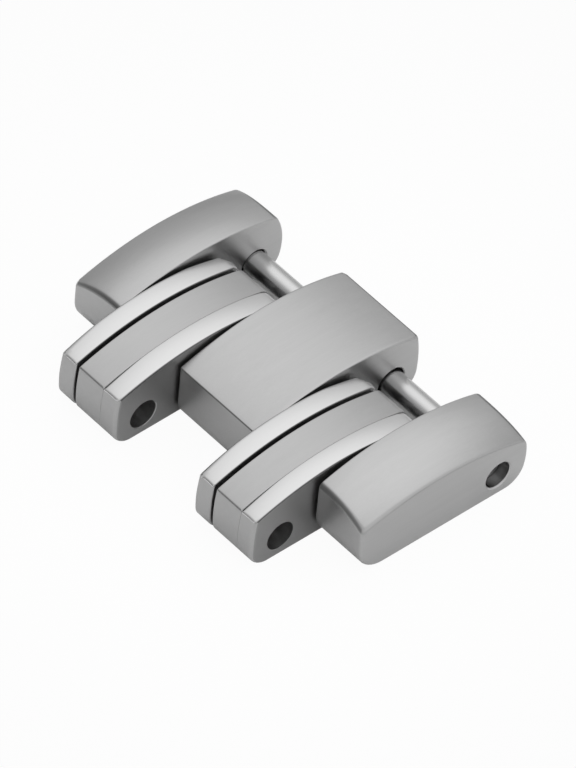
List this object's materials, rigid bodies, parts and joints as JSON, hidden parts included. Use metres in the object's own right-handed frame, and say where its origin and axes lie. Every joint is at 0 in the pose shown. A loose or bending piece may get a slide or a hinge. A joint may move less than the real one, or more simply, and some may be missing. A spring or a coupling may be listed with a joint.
{
  "type": "watch bracelet link",
  "caption": "Steel watch bracelet link: a main row of an outer, centre and outer link on a fixed pin, turning strip and bar groups between them, and a push-out friction pin behind.",
  "frame": {"origin": "the underside, at the middle of the link's box, straight below the fixed pin", "axes": "+X along the pins towards the right outer link, +Y along the bracelet towards the removable pin, +Z away from the wrist"},
  "size_m": [0.02, 0.0138, 0.0042],
  "materials": {
    "brushed_link": "fine brushing along the bracelet",
    "brushed_bar": "fine brushing along the bracelet",
    "polished_strip": "polished stainless steel",
    "turned_pin": "drawn and ground round wire"
  },
  "bodies": {
    "main_row": {"outer_link_left": "brushed_link", "outer_link_right": "brushed_link", "centre_link": "brushed_link", "fixed_pin": "turned_pin", "pin_collar": "turned_pin"},
    "left_strip_outer": {"left_strip_outer": "polished_strip"},
    "left_bar": {"left_bar": "brushed_bar"},
    "left_strip_inner": {"left_strip_inner": "polished_strip"},
    "right_strip_inner": {"right_strip_inner": "polished_strip"},
    "right_bar": {"right_bar": "brushed_bar"},
    "right_strip_outer": {"right_strip_outer": "polished_strip"},
    "removable_pin": {"removable_pin": "turned_pin"}
  },
  "joints": [
    {"name": "left_strip_outer_turn", "type": "hinge", "parent": "main_row", "child": "left_strip_outer", "pos_m": [0, 0, 0.0012], "axis": [1, 0, 0], "range_deg": [-15, 75]},
    {"name": "left_bar_turn", "type": "hinge", "parent": "main_row", "child": "left_bar", "pos_m": [0, 0, 0.0012], "axis": [1, 0, 0], "range_deg": [-15, 75]},
    {"name": "left_strip_inner_turn", "type": "hinge", "parent": "main_row", "child": "left_strip_inner", "pos_m": [0, 0, 0.0012], "axis": [1, 0, 0], "range_deg": [-15, 75]},
    {"name": "right_strip_inner_turn", "type": "hinge", "parent": "main_row", "child": "right_strip_inner", "pos_m": [0, 0, 0.0012], "axis": [1, 0, 0], "range_deg": [-15, 75]},
    {"name": "right_bar_turn", "type": "hinge", "parent": "main_row", "child": "right_bar", "pos_m": [0, 0, 0.0012], "axis": [1, 0, 0], "range_deg": [-15, 75]},
    {"name": "right_strip_outer_turn", "type": "hinge", "parent": "main_row", "child": "right_strip_outer", "pos_m": [0, 0, 0.0012], "axis": [1, 0, 0], "range_deg": [-15, 75]},
    {"name": "removable_pin_slide", "type": "slide", "parent": "main_row", "child": "removable_pin", "axis": [1, 0, 0], "range_m": [0, 0.0196]}
  ]
}
